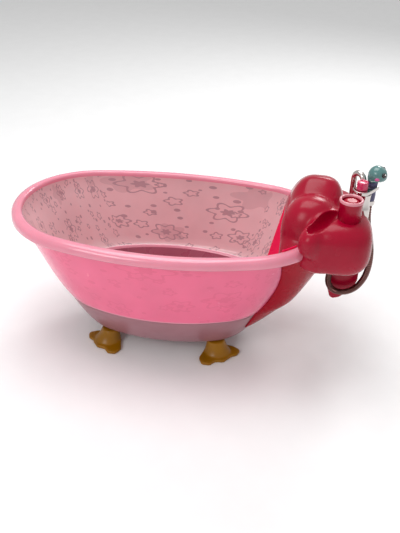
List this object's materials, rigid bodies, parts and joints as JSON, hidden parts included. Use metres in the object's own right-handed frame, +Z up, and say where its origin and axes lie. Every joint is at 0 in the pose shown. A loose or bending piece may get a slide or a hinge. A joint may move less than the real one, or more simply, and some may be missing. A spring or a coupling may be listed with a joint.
{
  "type": "toy baby bathtub",
  "caption": "oval doll's bath on four webbed feet, with a water console, push button, tap, spout and hose shower at one end",
  "frame": {"origin": "centre of the object's footprint on the floor, bottom centre of its box without the hose", "axes": "+Z up, +X along the bath towards the console, -Y towards the side with the button"},
  "size_m": [0.5215, 0.277, 0.3029],
  "materials": {
    "pink_translucent": "translucent moulded plastic, glossy, printed",
    "mauve_plastic": "moulded plastic, satin",
    "hot_pink_plastic": "moulded plastic, glossy",
    "yellow_plastic": "moulded plastic, glossy",
    "chrome_trim": "bright plated",
    "teal_plastic": "moulded plastic, glossy",
    "purple_plastic": "moulded plastic, glossy",
    "white_plastic": "moulded plastic, matt",
    "black_plastic": "moulded plastic, matt",
    "seal_rubber": "soft rubber",
    "steel": "plated steel",
    "board_green": "lacquered laminate",
    "cell_wrap": "printed metal can, no marks",
    "clear_tube": "clear soft tube"
  },
  "bodies": {
    "bath": {"tub_shell": "pink_translucent", "base_cradle": "mauve_plastic", "foot_front_left": "yellow_plastic", "foot_front_right": "yellow_plastic", "foot_rear_left": "yellow_plastic", "foot_rear_right": "yellow_plastic", "foot_screws": "steel", "console_cover": "hot_pink_plastic", "console_base": "hot_pink_plastic", "console_screws": "steel", "inner_panel": "hot_pink_plastic", "end_panel": "hot_pink_plastic", "suction_strainer": "white_plastic", "suction_tube": "clear_tube", "pump_body": "white_plastic", "pump_motor": "steel", "delivery_tube": "clear_tube", "hose_outlet": "chrome_trim", "circuit_board": "board_green", "button_switch": "black_plastic", "speaker": "black_plastic", "button_collar": "hot_pink_plastic", "button_spring": "steel", "tap_column": "chrome_trim", "tap_plate": "chrome_trim", "hose_nut_lower": "chrome_trim", "shower_hose": "chrome_trim", "battery_box": "hot_pink_plastic", "batteries": "cell_wrap", "battery_contacts": "steel"},
    "drain_stopper": {"drain_plug": "hot_pink_plastic", "drain_seal": "seal_rubber"},
    "button": {"push_button": "hot_pink_plastic"},
    "tap_knob": {"tap_cap": "hot_pink_plastic"},
    "spout_arm": {"spout": "chrome_trim"},
    "shower": {"shower_handle": "purple_plastic", "shower_head": "teal_plastic", "hose_nut_upper": "chrome_trim"},
    "impeller": {"pump_impeller": "white_plastic"},
    "battery_door": {"battery_cover": "hot_pink_plastic"}
  },
  "joints": [
    {"name": "plug_lift", "type": "slide", "parent": "bath", "child": "drain_stopper", "axis": [0, 0, 1], "range_m": [0, 0.02]},
    {"name": "button_press", "type": "slide", "parent": "bath", "child": "button", "axis": [0, 0, -1], "range_m": [0, 0.004], "stiffness_N_per_m": 300, "springref_m": -0.001},
    {"name": "tap_turn", "type": "hinge", "parent": "bath", "child": "tap_knob", "pos_m": [0.2298, -0.035, 0.28], "axis": [0, 0, 1], "range_deg": [0, 90]},
    {"name": "spout_swivel", "type": "hinge", "parent": "bath", "child": "spout_arm", "pos_m": [0.2313, -0.021, 0.28], "axis": [0, 0, 1], "range_deg": [-40, 50]},
    {"name": "shower_lift", "type": "slide", "parent": "bath", "child": "shower", "axis": [0, 0, 1], "range_m": [0, 0.03]},
    {"name": "impeller_spin", "type": "hinge", "parent": "bath", "child": "impeller", "pos_m": [0.2148, 0.012, 0.19], "axis": [0, 0, 1], "continuous": true},
    {"name": "battery_door_open", "type": "hinge", "parent": "bath", "child": "battery_door", "pos_m": [0.2263, 0.048, 0.11], "axis": [-1, 0, 0], "range_deg": [0, 100]}
  ]
}
